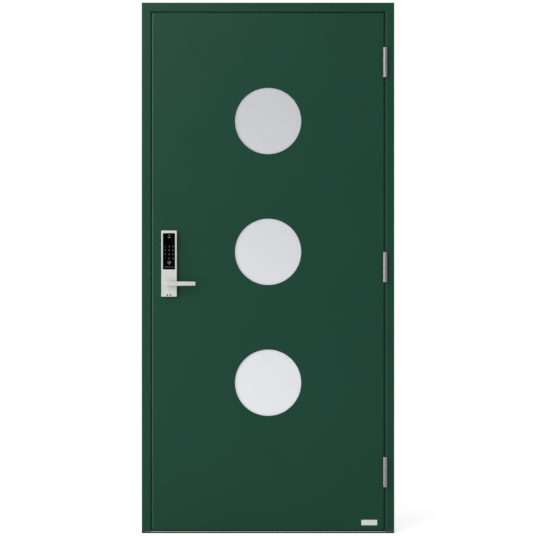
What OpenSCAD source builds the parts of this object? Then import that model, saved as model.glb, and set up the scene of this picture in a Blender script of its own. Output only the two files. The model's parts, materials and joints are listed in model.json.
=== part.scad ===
// Flush entrance door with three round windows, in its frame.
// +Z is up and X runs along the wall. The outside of the house is towards -Y.
// The origin is on the underside of the threshold, at the middle of its width and depth.

/* [Frame] */
// Overall width of the frame
frame_w = 990; // [890:10:1200]
// Overall height from the underside of the threshold
frame_h = 2080; // [1730:10:2500]
// Depth of the frame through the wall
frame_d = 105; // [92:1:140]
// Width of the frame's face beside the leaf
face_w = 35.5; // [30:0.5:50]
// How far the stop behind the leaf reaches in past the frame's face
stop_reach = 29.5; // [20:0.5:40]
// Radius of each hole for a fixing screw
fixing_r = 5; // [3:0.5:8]
// Distance from the middle of a jamb to its inner pair of fixing holes
fixing_inner = 400; // [200:10:450]
// Distance from the middle of a jamb to its outer pair of fixing holes
fixing_outer = 800; // [600:10:850]

/* [Threshold] */
// Height of the threshold under the jambs and in front of the leaf's foot
threshold_h = 9; // [6:0.5:20]
// Height of the upstand that the leaf's foot closes against
upstand_h = 25; // [20:1:35]
// Thickness of the metal plate on the threshold
plate_t = 4; // [2:0.5:5]

/* [Leaf] */
// Thickness of the leaf
leaf_t = 62; // [50:1:75]
// Gap between the leaf and the frame all round
leaf_gap = 5; // [3:0.5:8]
// How much narrower the leaf is at its back, so that the closing edge swings clear
closing_bevel = 4; // [2:0.5:8]
// Thickness of the outer and the inner panel
skin_t = 3; // [2:0.5:6]
// Width of the stile on the lock side
lock_stile_w = 110; // [105:1:140]
// Width of the stile on the hinge side
hinge_stile_w = 60; // [40:1:120]
// Height of the top and the bottom rail
rail_h = 70; // [50:1:90]

/* [Windows] */
// Diameter of the round opening outside
window_d = 260; // [200:5:320]
// Distance from the top of the frame to the middle of the top window
window_drop = 464; // [380:1:560]
// Distance between the middles of two windows
window_pitch = 513; // [400:1:620]
// How far the glass runs behind the outer panel all round
glass_bite = 12; // [8:1:20]
// Thickness of one pane
pane_t = 4; // [3:0.5:6]
// Thickness of the glazing tape between the outer panel and the glass
tape_t = 0.5; // [0.5:0.1:2]
// Width of the space between two panes
pane_space = 14; // [8:1:16]
// Width of the spacer and the tape at the edge of the glass
spacer_w = 8; // [5:0.5:10]
// How far the inside bead covers the inner panel
bead_lip = 10; // [5:1:20]
// Thickness of the inside bead's lip
bead_lip_t = 3.5; // [2:0.5:4]

/* [Hinges] */
// Diameter of a knuckle
knuckle_d = 18; // [14:0.5:22]
// Length of one knuckle
knuckle_l = 35.5; // [30:0.5:50]
// Length of a finishing cap
cap_l = 23.5; // [10:0.5:30]
// Diameter of the hinge pin
pin_d = 10; // [8:0.5:12]
// How far the pin reaches up into the leaf's knuckle
pin_l = 26; // [15:1:28]
// Thickness of a hinge plate
hinge_plate_t = 3; // [2:0.5:4]
// Height of a hinge plate
hinge_plate_h = 100; // [80:1:116]
// Depth of a hinge plate
hinge_plate_d = 36; // [25:1:45]
// How far the hinge axis lies from the middle of the gap, towards the frame
hinge_offset = 1; // [0:0.5:2]
// Height of the bottom hinge's middle
bottom_hinge_z = 241; // [180:1:320]
// Distance from the top of the frame to the top hinge's middle
top_hinge_drop = 235; // [180:1:320]

/* [Lock] */
// Distance from the leaf's closing edge to the lever's axis
backset = 67.5; // [60:0.5:80]
// Height of the lever's axis
lever_z = 979; // [900:1:1100]
// Width of the lock's housings
housing_w = 60; // [50:1:70]
// Height of the lock's housings
housing_h = 258; // [230:1:300]
// Distance from the housings' lower end to the lever's axis
housing_drop = 51; // [40:1:70]
// Thickness of each housing
housing_t = 22; // [16:1:30]
// Rounding of a housing's corners
housing_round = 4; // [1:0.5:10]
// Width of the dark glass of the keypad
keypad_w = 47.6; // [40:0.1:50]
// Height of the dark glass of the keypad
keypad_h = 142; // [100:1:150]
// Distance from the top of the housing to the keypad
keypad_drop = 10; // [6:0.5:20]
// Thickness of the keypad
keypad_t = 2.4; // [2:0.1:4]
// How far the keypad stands out of its recess
keypad_proud = 0.4; // [0.2:0.1:1]
// Diameter of a battery contact
contact_d = 5; // [3:0.5:8]
// Distance between the two battery contacts
contact_pitch = 12; // [9:0.5:20]
// Height of the battery contacts above the housing's lower end
contact_rise = 6; // [5:0.5:12]
// Width of the lock's forend and the strike plate
forend_w = 22; // [18:1:26]
// Thickness of the lock's forend and the strike plate
forend_t = 3; // [2:0.5:4]
// Height of the lock's forend
forend_h = 235; // [200:1:300]
// Height of the dead bolt above the lever's axis
dead_bolt_rise = 105; // [80:1:120]
// Height of the latch bolt above the lever's axis
latch_rise = 40; // [25:1:50]

/* [Lever] */
// Distance from the leaf's face to the lever's outer face
lever_reach = 60; // [50:1:75]
// Length of the lever from its axis to its tip
lever_l = 105; // [90:1:130]
// Length of the lever behind its axis
lever_heel = 13; // [11:0.5:20]
// Height of the lever at its heel
lever_root_h = 18.5; // [14:0.5:24]
// Height of the lever at its tip
lever_tip_h = 15.5; // [10:0.5:20]
// Thickness of the lever
lever_t = 12; // [8:0.5:14]
// Diameter of the lever's neck
neck_d = 18; // [14:0.5:20]
// Diameter of the spindle
spindle_d = 8; // [7:0.5:10]

/* [Label] */
// Width of the blank label plate
label_w = 62; // [40:1:90]
// Height of the blank label plate
label_h = 21; // [10:1:30]
// Thickness of the blank label plate
label_t = 0.6; // [0.4:0.1:2]
// Distance from the leaf's hinge edge to the middle of the label plate
label_inset = 57.5; // [50:0.5:120]
// Distance from the leaf's foot to the middle of the label plate
label_rise = 28; // [20:1:60]

/* [Hidden] */
$fn = 64;
// Running clearance of a pin or neck in its bore, on the radius
run_fit = 0.05;
// Clearance round the glass and the beads
glass_fit = 0.4;
// Clearance between a seal and the closed leaf
seal_fit = 0.3;
// Space between the leaf's back and the stop, which the seals fill
seal_space = 4;
// Width of a seal, and its distance from the stop's inner edge
seal_w = 8;
seal_margin = 2;
// Clearance between the two knuckles of a hinge, and behind them
knuckle_fit = 0.3;
knuckle_back = 0.5;
// How far the cutters run past the material they cut
past = 1;

// Planes of the frame
x_outer = frame_w / 2;
x_face = x_outer - face_w;
x_stop = x_face - stop_reach;
y_front = -frame_d / 2;
y_back = frame_d / 2;
z_head = frame_h - face_w;
z_head_stop = z_head - stop_reach;

// Planes of the leaf
x_leaf = x_face - leaf_gap;
y_leaf = y_front + leaf_t;
z_leaf = threshold_h + leaf_gap;
z_leaf_top = z_head - leaf_gap;
y_stop = y_leaf + seal_space;
y_core = y_front + skin_t;
y_core_back = y_leaf - skin_t;
x_lock_stile = -x_leaf + lock_stile_w;
x_hinge_stile = x_leaf - hinge_stile_w;
z_rail = z_leaf + rail_h;
z_rail_top = z_leaf_top - rail_h;
base_h = threshold_h - plate_t;

// Ends of the upright seals
z_seal = upstand_h;
z_seal_top = z_head_stop + seal_margin + seal_w;

// Windows, from the top down
window_z = [for (i = [0:2]) frame_h - window_drop - i * window_pitch];
glass_d = window_d + 2 * glass_bite;
glass_hole_d = glass_d + 2 * glass_fit;
glass_inner_d = glass_d - 2 * spacer_w;
y_pane = [for (i = [0:2]) y_core + tape_t + i * (pane_t + pane_space)];
y_glass_back = y_pane[2] + pane_t;

// Hinges
hinge_x = x_face - leaf_gap / 2 + hinge_offset;
hinge_y = y_front - knuckle_d / 2 - knuckle_back;
top_hinge_z = frame_h - top_hinge_drop;
middle_hinge_z = (bottom_hinge_z + top_hinge_z) / 2;
hinge_z = [top_hinge_z, middle_hinge_z, bottom_hinge_z];

// Lock and lever
lock_x = -x_leaf + backset;
lock_y = y_front + leaf_t / 2;
housing_z = lever_z - housing_drop;
y_housing = y_front - housing_t;
y_housing_in = y_leaf + housing_t;
keypad_z = housing_z + housing_h - keypad_drop - keypad_h / 2;
keypad_recess = keypad_t - keypad_proud;
keypad_round = 3;
contact_proud = 0.8;
forend_edge = closing_edge(lock_y + forend_w / 2);
forend_z = lever_z - 60;
case_t = 15;
case_d = 95;
case_margin = 10;
latch_h = 24;
latch_w = 12;
latch_proud = 1.2;
bolt_play = 0.5;
dead_bolt_h = 20;
dead_bolt_w = 14;
dead_bolt_proud = 0.5;
bolt_back = 40;
strike_depth = 22;
strike_play = 2;
neck_sunk = 10;
spindle_hole_d = spindle_d + 4;
turn_z = lever_z + dead_bolt_rise + 40;
turn_d = 34;
turn_base = 6;
turn_grip = 14;
turn_grip_w = 12;

// X of the leaf's bevelled closing edge at depth y
function closing_edge(y) = -x_leaf + closing_bevel * (y - y_front) / leaf_t;

// A box between two opposite corners
module block(from, to) {
    translate(from)
        cube(to - from);
}

// A round bar along Y from depth y0 to depth y1
module bar_y(d, x, z, y0, y1) {
    translate([x, y1, z])
        rotate([90, 0, 0])
            cylinder(d = d, h = y1 - y0);
}

// A ring along Y
module ring_y(d_out, d_in, x, z, y0, y1) {
    difference() {
        bar_y(d_out, x, z, y0, y1);
        bar_y(d_in, x, z, y0 - past, y1 + past);
    }
}

// A rectangle in the XZ plane with round corners, centred at x, z and running from depth y0 to y1
module rounded_slab(w, h, r, x, z, y0, y1) {
    translate([x, y1, z])
        rotate([90, 0, 0])
            linear_extrude(y1 - y0) {
                square([w - 2 * r, h], center = true);
                square([w, h - 2 * r], center = true);
                for (sx = [-1, 1], sz = [-1, 1])
                    translate([sx * (w / 2 - r), sz * (h / 2 - r)])
                        circle(r);
            }
}

// The whole leaf's outline, with its bevelled closing edge on the lock side
module leaf_prism() {
    translate([0, 0, z_leaf])
        linear_extrude(z_leaf_top - z_leaf)
            polygon([
                [-x_leaf, y_front], [x_leaf, y_front],
                [x_leaf, y_leaf], [closing_edge(y_leaf), y_leaf]
            ]);
}

// The part of the leaf between two planes in each direction
module leaf_part(x0, x1, y0, y1, z0, z1) {
    intersection() {
        leaf_prism();
        block([x0, y0, z0], [x1, y1, z1]);
    }
}

// Holes for the spindle and for the lock's case, bolts and forend
module lock_cuts() {
    bar_y(spindle_hole_d, lock_x, lever_z, y_front - past, y_leaf + past);
    block([-x_outer, lock_y - forend_w / 2, forend_z],
          [forend_edge + forend_t, lock_y + forend_w / 2, forend_z + forend_h]);
    case_block();
}

// The space that the lock case fills
module case_block() {
    block([forend_edge + forend_t, lock_y - case_t / 2, forend_z + case_margin],
          [forend_edge + forend_t + case_d, lock_y + case_t / 2, forend_z + forend_h - case_margin]);
}

// One bolt of the lock, drawn back so that its nose stands just proud of the forend
module bolt_block(z, w, h, proud, play = 0, back = bolt_back) {
    block([forend_edge - proud, lock_y - w / 2 - play, z - h / 2 - play],
          [forend_edge + back, lock_y + w / 2 + play, z + h / 2 + play]);
}

// Pockets for the hinge plates, in the jamb (side = 1) or in the leaf (side = -1)
module hinge_pockets(side) {
    for (z = hinge_z)
        hinge_plate(side, z);
}

// A hinge plate let into the jamb (side = 1) or the leaf (side = -1)
module hinge_plate(side, z) {
    x_in = side > 0 ? x_face : x_leaf - hinge_plate_t;
    block([x_in, y_front, z - hinge_plate_h / 2],
          [x_in + hinge_plate_t, y_front + hinge_plate_d, z + hinge_plate_h / 2]);
}

// Frame section for the lock side, with the outer edge at x = 0
module jamb_section() {
    polygon([
        [0, y_front], [face_w, y_front], [face_w, y_stop],
        [face_w + stop_reach, y_stop], [face_w + stop_reach, y_back], [0, y_back]
    ]);
}

// Fixing-screw holes along X through one jamb, in the rebate behind the leaf's edge
module fixing_holes(side) {
    for (rise = [-fixing_outer, -fixing_inner, fixing_inner, fixing_outer])
        translate([side * (x_outer + past), lock_y, frame_h / 2 + rise])
            rotate([0, -side * 90, 0])
                cylinder(r = fixing_r, h = face_w + 2 * past);
}

module hinge_jamb() {
    color("#22463a")
        difference() {
            translate([x_outer, 0, threshold_h])
                linear_extrude(frame_h - threshold_h)
                    mirror([1, 0])
                        jamb_section();
            hinge_pockets(1);
            fixing_holes(1);
        }
}

module lock_jamb() {
    color("#22463a")
        difference() {
            translate([-x_outer, 0, threshold_h])
                linear_extrude(frame_h - threshold_h)
                    jamb_section();
            strike_outline(-x_face - forend_t);
            strike_pocket(lever_z + latch_rise, latch_w, latch_h);
            strike_pocket(lever_z + dead_bolt_rise, dead_bolt_w, dead_bolt_h);
            fixing_holes(-1);
        }
}

module frame_head() {
    color("#22463a") {
        block([-x_face, y_front, z_head], [x_face, y_stop, frame_h]);
        block([-x_stop, y_stop, z_head_stop], [x_stop, y_back, frame_h]);
    }
}

module strike_outline(x_in) {
    block([x_in, lock_y - forend_w / 2, forend_z],
          [-x_face, lock_y + forend_w / 2, forend_z + forend_h]);
}

// The hollow in the jamb that a thrown bolt enters
module strike_pocket(z, w, h) {
    block([-x_face - strike_depth, lock_y - w / 2 - strike_play, z - h / 2 - strike_play],
          [-x_face + past, lock_y + w / 2 + strike_play, z + h / 2 + strike_play]);
}

module strike_plate() {
    color("#b9bab6")
        difference() {
            strike_outline(-x_face - forend_t);
            strike_pocket(lever_z + latch_rise, latch_w, latch_h);
            strike_pocket(lever_z + dead_bolt_rise, dead_bolt_w, dead_bolt_h);
        }
}

module threshold_base() {
    color("#4a4849") {
        block([-x_outer, y_front, 0], [x_outer, y_back, base_h]);
        translate([-x_outer, 0, base_h])
            linear_extrude(plate_t)
                jamb_section();
        translate([x_outer, 0, base_h])
            linear_extrude(plate_t)
                mirror([1, 0])
                    jamb_section();
        block([-x_stop, y_stop + plate_t, base_h], [x_stop, y_back, upstand_h - plate_t]);
    }
}

module threshold_plate() {
    color("#9a9c9b") {
        block([-x_face, y_front, base_h], [x_face, y_stop, threshold_h]);
        block([-x_stop, y_stop, base_h], [x_stop, y_stop + plate_t, upstand_h]);
        block([-x_stop, y_stop, upstand_h - plate_t], [x_stop, y_back, upstand_h]);
    }
}

// A seal strip standing in front of the stop, between two corners in the XZ plane
module seal(x0, x1, z0, z1) {
    color("#191a19")
        block([x0, y_leaf + seal_fit, z0], [x1, y_stop, z1]);
}

module hinge_side_seal() {
    seal(x_stop + seal_margin, x_stop + seal_margin + seal_w, z_seal, z_seal_top);
}

module lock_side_seal() {
    seal(-x_stop - seal_margin - seal_w, -x_stop - seal_margin, z_seal, z_seal_top);
}

module head_seal() {
    seal(-x_stop - seal_margin, x_stop + seal_margin, z_seal_top - seal_w, z_seal_top);
}

module threshold_seal() {
    seal(-x_stop, x_stop, upstand_h - seal_w, upstand_h - seal_margin);
}

module hinge_knuckle(z, d = knuckle_d, h = knuckle_l) {
    translate([hinge_x, hinge_y, z])
        cylinder(d = d, h = h);
}

// The web that joins a knuckle to its plate, on the frame (side = 1) or on the leaf (side = -1)
module hinge_web(side, z) {
    x_in = side > 0 ? x_face : x_leaf - hinge_plate_t;
    block([x_in, hinge_y, z], [x_in + hinge_plate_t, y_front + past, z + knuckle_l]);
}

// The half that is fixed to the jamb: lower knuckle, pin and plate
module hinge_frame_half(z) {
    color("#a8a9a5") {
        hinge_plate(1, z);
        hinge_web(1, z - knuckle_l);
        hinge_knuckle(z - knuckle_l);
        hinge_knuckle(z, pin_d, pin_l);
    }
}

// The half that lifts off with the leaf: upper knuckle, bored for the pin, and plate
module hinge_leaf_half(z) {
    color("#a8a9a5")
        difference() {
            union() {
                hinge_plate(-1, z);
                hinge_web(-1, z + knuckle_fit);
                hinge_knuckle(z + knuckle_fit);
            }
            hinge_knuckle(z, pin_d + 2 * run_fit, pin_l + knuckle_fit + 1);
        }
}

module top_hinge_frame_half() { hinge_frame_half(top_hinge_z); }
module middle_hinge_frame_half() { hinge_frame_half(middle_hinge_z); }
module bottom_hinge_frame_half() { hinge_frame_half(bottom_hinge_z); }
module top_hinge_leaf_half() { hinge_leaf_half(top_hinge_z); }
module middle_hinge_leaf_half() { hinge_leaf_half(middle_hinge_z); }
module bottom_hinge_leaf_half() { hinge_leaf_half(bottom_hinge_z); }

module hinge_lower_caps() {
    color("#a8a9a5")
        for (z = hinge_z)
            hinge_knuckle(z - knuckle_l - cap_l, knuckle_d, cap_l);
}

module hinge_upper_caps() {
    color("#a8a9a5")
        for (z = hinge_z)
            hinge_knuckle(z + knuckle_fit + knuckle_l, knuckle_d, cap_l);
}

// One panel of the leaf between two depths, with the round holes
module panel(y0, y1, hole_d) {
    difference() {
        leaf_part(-x_leaf, x_leaf, y0, y1, z_leaf, z_leaf_top);
        for (z = window_z)
            bar_y(hole_d, 0, z, y0 - past, y1 + past);
        lock_cuts();
        hinge_pockets(-1);
    }
}

module outer_panel() {
    color("#22463a") panel(y_front, y_core, window_d);
}

module inner_panel() {
    color("#22463a") panel(y_core_back, y_leaf, glass_hole_d);
}

module lock_stile() {
    color("#b79a6c")
        difference() {
            leaf_part(-x_leaf, x_lock_stile, y_core, y_core_back, z_leaf, z_leaf_top);
            lock_cuts();
        }
}

module hinge_stile() {
    color("#b79a6c")
        difference() {
            leaf_part(x_hinge_stile, x_leaf, y_core, y_core_back, z_leaf, z_leaf_top);
            hinge_pockets(-1);
        }
}

module top_rail() {
    color("#b79a6c")
        block([x_lock_stile, y_core, z_rail_top], [x_hinge_stile, y_core_back, z_leaf_top]);
}

module bottom_rail() {
    color("#b79a6c")
        block([x_lock_stile, y_core, z_leaf], [x_hinge_stile, y_core_back, z_rail]);
}

module leaf_core() {
    color("#d8c9a0")
        difference() {
            block([x_lock_stile, y_core, z_rail], [x_hinge_stile, y_core_back, z_rail_top]);
            for (z = window_z)
                bar_y(glass_hole_d, 0, z, y_core - past, y_core_back + past);
        }
}

module window_panes(z) {
    color("#d6dadb", 0.6)
        for (y = y_pane)
            bar_y(glass_d, 0, z, y, y + pane_t);
}

module top_window_panes() { window_panes(window_z[0]); }
module middle_window_panes() { window_panes(window_z[1]); }
module bottom_window_panes() { window_panes(window_z[2]); }

// Glazing tape in front of the glass, and the spacers between the panes
module window_spacers() {
    color("#2c2d2d")
        for (z = window_z) {
            ring_y(glass_d, glass_inner_d, 0, z, y_core, y_core + tape_t);
            for (i = [0, 1])
                ring_y(glass_d, glass_inner_d, 0, z, y_pane[i] + pane_t, y_pane[i + 1]);
        }
}

// The round bead that holds the glass in from the room side
module window_bead(z) {
    color("#22463a") {
        ring_y(glass_d, glass_inner_d, 0, z, y_glass_back, y_leaf);
        ring_y(glass_d + 2 * bead_lip, glass_inner_d, 0, z, y_leaf, y_leaf + bead_lip_t);
    }
}

module top_window_bead() { window_bead(window_z[0]); }
module middle_window_bead() { window_bead(window_z[1]); }
module bottom_window_bead() { window_bead(window_z[2]); }

module outside_housing() {
    color("#c9c9c4")
        difference() {
            rounded_slab(housing_w, housing_h, housing_round, lock_x, housing_z + housing_h / 2,
                         y_housing, y_front);
            rounded_slab(keypad_w, keypad_h, keypad_round, lock_x, keypad_z,
                         y_housing - past, y_housing + keypad_recess);
            bar_y(neck_d + 2 * run_fit, lock_x, lever_z, y_housing - past, y_front + past);
        }
}

module keypad_glass() {
    color("#0b0c0d")
        rounded_slab(keypad_w, keypad_h, keypad_round, lock_x, keypad_z,
                     y_housing - keypad_proud, y_housing + keypad_recess);
}

module battery_contacts() {
    color("#2b2a29")
        for (side = [-1, 1])
            bar_y(contact_d, lock_x + side * contact_pitch / 2, housing_z + contact_rise,
                  y_housing - contact_proud, y_housing);
}

module inside_housing() {
    color("#c9c9c4")
        difference() {
            rounded_slab(housing_w, housing_h, housing_round, lock_x, housing_z + housing_h / 2,
                         y_leaf, y_housing_in);
            bar_y(neck_d + 2 * run_fit, lock_x, lever_z, y_leaf - past, y_housing_in + past);
        }
}

module thumbturn() {
    color("#c9c9c4") {
        bar_y(turn_d, lock_x, turn_z, y_housing_in, y_housing_in + turn_base);
        rounded_slab(turn_grip_w, turn_d - 4, turn_grip_w / 3, lock_x, turn_z,
                     y_housing_in + turn_base, y_housing_in + turn_base + turn_grip);
    }
}

module lock_forend() {
    color("#b9bab6")
        difference() {
            block([forend_edge, lock_y - forend_w / 2, forend_z],
                  [forend_edge + forend_t, lock_y + forend_w / 2, forend_z + forend_h]);
            bolt_block(lever_z + latch_rise, latch_w, latch_h, past, bolt_play);
            bolt_block(lever_z + dead_bolt_rise, dead_bolt_w, dead_bolt_h, past, bolt_play);
        }
}

module lock_case() {
    color("#8f908c")
        difference() {
            case_block();
            bolt_block(lever_z + latch_rise, latch_w, latch_h, past);
            bolt_block(lever_z + dead_bolt_rise, dead_bolt_w, dead_bolt_h, past);
            bar_y(spindle_hole_d, lock_x, lever_z, lock_y - case_t, lock_y + case_t);
        }
}

module latch_bolt() {
    color("#b9bab6") bolt_block(lever_z + latch_rise, latch_w, latch_h, latch_proud);
}

module dead_bolt() {
    color("#b9bab6") bolt_block(lever_z + dead_bolt_rise, dead_bolt_w, dead_bolt_h, dead_bolt_proud);
}

module label_plate() {
    color("#e6e8e8")
        rounded_slab(label_w, label_h, 1.5, x_leaf - label_inset, z_leaf + label_rise,
                     y_front - label_t, y_front);
}

// A lever on one side of the leaf. It is drawn for the outside and mirrored for the inside.
module lever(y_face, side) {
    y_outer = y_face - side * lever_reach;
    y_inner = y_outer + side * lever_t;
    y_sunk = y_face - side * (housing_t - neck_sunk);
    bar_y(neck_d, lock_x, lever_z, min(y_inner, y_sunk), max(y_inner, y_sunk));
    translate([lock_x, max(y_outer, y_inner), lever_z])
        rotate([90, 0, 0])
            linear_extrude(lever_t)
                polygon([
                    [-lever_heel, -lever_root_h / 2], [lever_l, -lever_tip_h / 2],
                    [lever_l, lever_tip_h / 2], [-lever_heel, lever_root_h / 2]
                ]);
}

module outside_lever() {
    color("#c9c9c4") lever(y_front, 1);
}

module inside_lever() {
    color("#c9c9c4") lever(y_leaf, -1);
}

module handle_spindle() {
    color("#8f908c")
        bar_y(spindle_d, lock_x, lever_z, y_housing + neck_sunk, y_housing_in - neck_sunk);
}

hinge_jamb();
lock_jamb();
frame_head();
threshold_base();
threshold_plate();
hinge_side_seal();
lock_side_seal();
head_seal();
threshold_seal();
strike_plate();
top_hinge_frame_half();
middle_hinge_frame_half();
bottom_hinge_frame_half();
hinge_lower_caps();
outer_panel();
inner_panel();
lock_stile();
hinge_stile();
top_rail();
bottom_rail();
leaf_core();
top_window_panes();
middle_window_panes();
bottom_window_panes();
window_spacers();
top_window_bead();
middle_window_bead();
bottom_window_bead();
outside_housing();
keypad_glass();
battery_contacts();
inside_housing();
thumbturn();
lock_forend();
lock_case();
latch_bolt();
dead_bolt();
top_hinge_leaf_half();
middle_hinge_leaf_half();
bottom_hinge_leaf_half();
hinge_upper_caps();
label_plate();
outside_lever();
handle_spindle();
inside_lever();
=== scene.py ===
"""Looks of a dark green flush entrance door with three round windows, in its frame."""

import json
import math

import bmesh
import bpy
from mathutils import Matrix, Vector


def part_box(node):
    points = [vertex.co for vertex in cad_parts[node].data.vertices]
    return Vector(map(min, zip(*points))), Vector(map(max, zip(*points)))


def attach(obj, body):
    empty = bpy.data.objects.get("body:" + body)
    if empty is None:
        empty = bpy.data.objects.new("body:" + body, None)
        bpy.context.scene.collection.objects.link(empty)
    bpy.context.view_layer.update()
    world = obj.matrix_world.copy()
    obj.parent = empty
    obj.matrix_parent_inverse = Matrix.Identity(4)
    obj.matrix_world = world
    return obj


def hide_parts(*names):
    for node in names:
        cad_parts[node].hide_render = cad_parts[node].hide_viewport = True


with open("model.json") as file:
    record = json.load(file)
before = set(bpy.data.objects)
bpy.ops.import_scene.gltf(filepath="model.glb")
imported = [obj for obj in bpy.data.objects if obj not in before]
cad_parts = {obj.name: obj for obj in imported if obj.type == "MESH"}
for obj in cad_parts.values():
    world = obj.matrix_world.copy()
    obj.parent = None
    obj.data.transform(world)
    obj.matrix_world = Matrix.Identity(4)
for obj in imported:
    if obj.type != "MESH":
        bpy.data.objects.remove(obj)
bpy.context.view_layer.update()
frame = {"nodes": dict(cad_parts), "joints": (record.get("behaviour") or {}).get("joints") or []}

MM = 0.001
NEAR = 0.00005
X, Y, Z = 0, 1, 2
WINDOWS = ("top", "middle", "bottom")

# --- Places taken from the construction -------------------------------------------------------

jamb_lo, jamb_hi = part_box("hinge_jamb")
head_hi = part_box("frame_head")[1]
tread_lo, tread_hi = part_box("threshold_plate")
base_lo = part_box("threshold_base")[0]
leaf_lo, leaf_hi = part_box("outer_panel")
inner_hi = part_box("inner_panel")[1]
housing_lo, housing_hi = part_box("outside_housing")
room_housing_lo, room_housing_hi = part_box("inside_housing")
keypad_lo, keypad_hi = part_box("keypad_glass")
lever_lo, lever_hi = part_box("outside_lever")
room_lever_lo, room_lever_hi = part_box("inside_lever")
turn_lo, turn_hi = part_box("thumbturn")
forend_lo, forend_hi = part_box("lock_forend")
strike_lo, strike_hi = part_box("strike_plate")
label_lo, label_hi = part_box("label_plate")
latch_lo, latch_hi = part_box("latch_bolt")
dead_lo, dead_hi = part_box("dead_bolt")
joints = {joint["name"]: joint for joint in frame["joints"]}
hinge_axis = Vector(joints["door_swing"]["pos_m"])
lever_axis = Vector(joints["lever_turn"]["pos_m"])

x_outer = jamb_hi.x
x_face = head_hi.x
x_stop = jamb_lo.x
y_front = jamb_lo.y
y_back = jamb_hi.y
y_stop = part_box("head_seal")[1].y
y_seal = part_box("head_seal")[0].y
y_core = leaf_hi.y
y_pane = y_core + 0.5 * MM
y_leaf = inner_hi.y
z_jamb = jamb_lo.z
z_top = jamb_hi.z
face_w = x_outer - x_face
z_head = z_top - face_w
stop_reach = x_face - x_stop
leaf_gap = x_face - leaf_hi.x
window_z = {name: sum(corner.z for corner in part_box(f"{name}_window_panes")) / 2 for name in WINDOWS}
hinge_z = {name: sum(corner.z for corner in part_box(f"{name}_hinge_leaf_half")) / 2 for name in WINDOWS}
glass_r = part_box("top_window_panes")[1].x
bead_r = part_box("top_window_bead")[1].x

# Sizes that the boxes don't tell
window_r = 130 * MM
glass_play = 0.4 * MM
pane_t = 4 * MM
pane_pitch = 18 * MM
spacer_r = 134 * MM
closing_bevel = 4 * MM
leaf_soft = 3 * MM
jamb_soft = 2 * MM
plate_t = 4 * MM
knuckle_r = 9 * MM
knuckle_l = 35.5 * MM
cap_l = 23.5 * MM
hinge_plate_t = 3 * MM
hinge_plate_d = 36 * MM
hinge_plate_inset = 2.5 * MM
hinge_plate_reach = 50 * MM
fixing_r = 5 * MM
fixing_rises = (-0.8, -0.4, 0.4, 0.8)
bolt_play = 2 * MM
strike_depth = 22 * MM
housing_seam_z = 1026 * MM
room_seam_z = 1052 * MM
seam_w = 0.8 * MM
key_pitch = 15 * MM
key_row_pitch = 15.5 * MM
top_keys_z = 1124 * MM
key_h = 5.6 * MM
lamp_z = 1168 * MM
light_bar_z = 1159 * MM
reader_z = 1054.5 * MM
foot_marks_z = 1044 * MM
y_lock = (forend_lo.y + forend_hi.y) / 2


# --- Mesh helpers -----------------------------------------------------------------------------

def along(axis, value):
    """A vector of one length along one axis."""
    vector = Vector((0, 0, 0))
    vector[axis] = value
    return vector


def verts_of(made):
    return [item for item in made["geom"] if isinstance(item, bmesh.types.BMVert)]


def block(lo, hi, rounding=0.0, segments=2):
    """A box between two corners, its edges rounded."""
    lo, hi = Vector(lo), Vector(hi)
    bm = bmesh.new()
    bmesh.ops.create_cube(bm, size=1.0)
    bmesh.ops.scale(bm, vec=hi - lo, verts=bm.verts)
    bmesh.ops.translate(bm, vec=(lo + hi) / 2, verts=bm.verts)
    if rounding:
        round_edges(bm, bm.edges[:], rounding, segments)
    return bm


def round_edges(bm, edges, radius, segments=3):
    bmesh.ops.bevel(bm, geom=edges, offset=radius, offset_type="OFFSET", segments=segments,
                    profile=0.5, affect="EDGES", material=-1, clamp_overlap=True)


def corners(bm, steeper_than=30):
    """Edges at which a solid turns by more than an angle."""
    limit = math.radians(steeper_than)
    return [e for e in bm.edges if len(e.link_faces) == 2 and e.calc_face_angle() > limit]


def edges_at(bm, **planes):
    """Edges that lie in all of these planes, given as x=, y= or z=."""
    wanted = [("xyz".index(axis), value) for axis, value in planes.items()]
    return [
        e for e in bm.edges
        if all(abs(v.co[axis] - value) < NEAR for v in e.verts for axis, value in wanted)
    ]


def corners_at(bm, axis, level):
    """Sharp edges that lie in the plane at a level on an axis."""
    return [e for e in corners(bm) if all(abs(v.co[axis] - level) < NEAR for v in e.verts)]


def wall_faces(bm, axis, level):
    """Faces that lie flat at a level on an axis."""
    return [f for f in bm.faces if all(abs(v.co[axis] - level) < NEAR for v in f.verts)]


def sink(bm, faces, shift):
    """Pushes faces along a vector with walls behind them, and returns them in their new place."""
    made = bmesh.ops.extrude_face_region(bm, geom=faces)
    bmesh.ops.translate(bm, vec=shift, verts=verts_of(made))
    bmesh.ops.delete(bm, geom=[f for f in faces if f.is_valid], context="FACES")
    return [item for item in made["geom"] if isinstance(item, bmesh.types.BMFace)]


def marked_out(bm, axis, level, lo, hi):
    """Cuts the flat wall at a level along a rectangle's sides, and returns the faces inside it."""
    sides = [other for other in (X, Y, Z) if other != axis]
    for other in sides:
        for value in (lo[other], hi[other]):
            faces = wall_faces(bm, axis, level)
            around = {part for face in faces for part in (*face.edges, *face.verts)}
            bmesh.ops.bisect_plane(bm, geom=[*faces, *around], dist=NEAR / 10,
                                   plane_co=along(other, value), plane_no=along(other, 1))
    return [
        f for f in wall_faces(bm, axis, level)
        if all(lo[other] < f.calc_center_median()[other] < hi[other] for other in sides)
    ]


def carve(bm, axis, level, lo, hi, depth):
    """Sinks a rectangular pocket into a flat wall. A negative depth goes down the axis."""
    sink(bm, marked_out(bm, axis, level, lo, hi), along(axis, depth))


def turned_to(axis, centre):
    """The placing that turns a shape drawn flat to face along an axis, at a centre."""
    turn = {X: Matrix.Rotation(math.pi / 2, 4, "Y"), Y: Matrix.Rotation(math.pi / 2, 4, "X"),
            Z: Matrix.Identity(4)}[axis]
    return Matrix.Translation(centre) @ turn


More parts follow.
